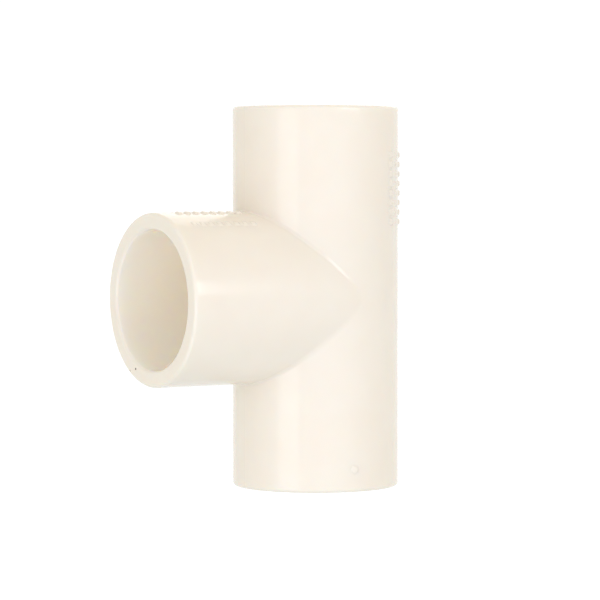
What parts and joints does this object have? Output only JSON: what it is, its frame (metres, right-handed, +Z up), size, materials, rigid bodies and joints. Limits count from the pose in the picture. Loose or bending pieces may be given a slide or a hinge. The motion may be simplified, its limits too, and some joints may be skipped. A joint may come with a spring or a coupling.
{
  "type": "pipe tee",
  "caption": "Plain moulded pipe tee: straight run with a side branch at right angles, smooth glue sockets with inner pipe stops, rounded mouths and a soft crease.",
  "frame": {"origin": "centre of the lower run socket's mouth, on the run's axis", "axes": "+Z up along the run towards the upper run socket, -X along the branch towards its mouth, +Y across"},
  "size_m": [0.0447, 0.0278, 0.0618],
  "materials": {
    "cream_plastic": "smooth moulded gloss, warm cream, slightly translucent"
  },
  "bodies": {
    "root": {"centre_body": "cream_plastic", "lower_run_socket": "cream_plastic", "upper_run_socket": "cream_plastic", "branch_socket": "cream_plastic", "branch_marking": "cream_plastic", "run_marking": "cream_plastic", "cavity_pip": "cream_plastic", "gate_vestige": "cream_plastic"}
  },
  "joints": []
}
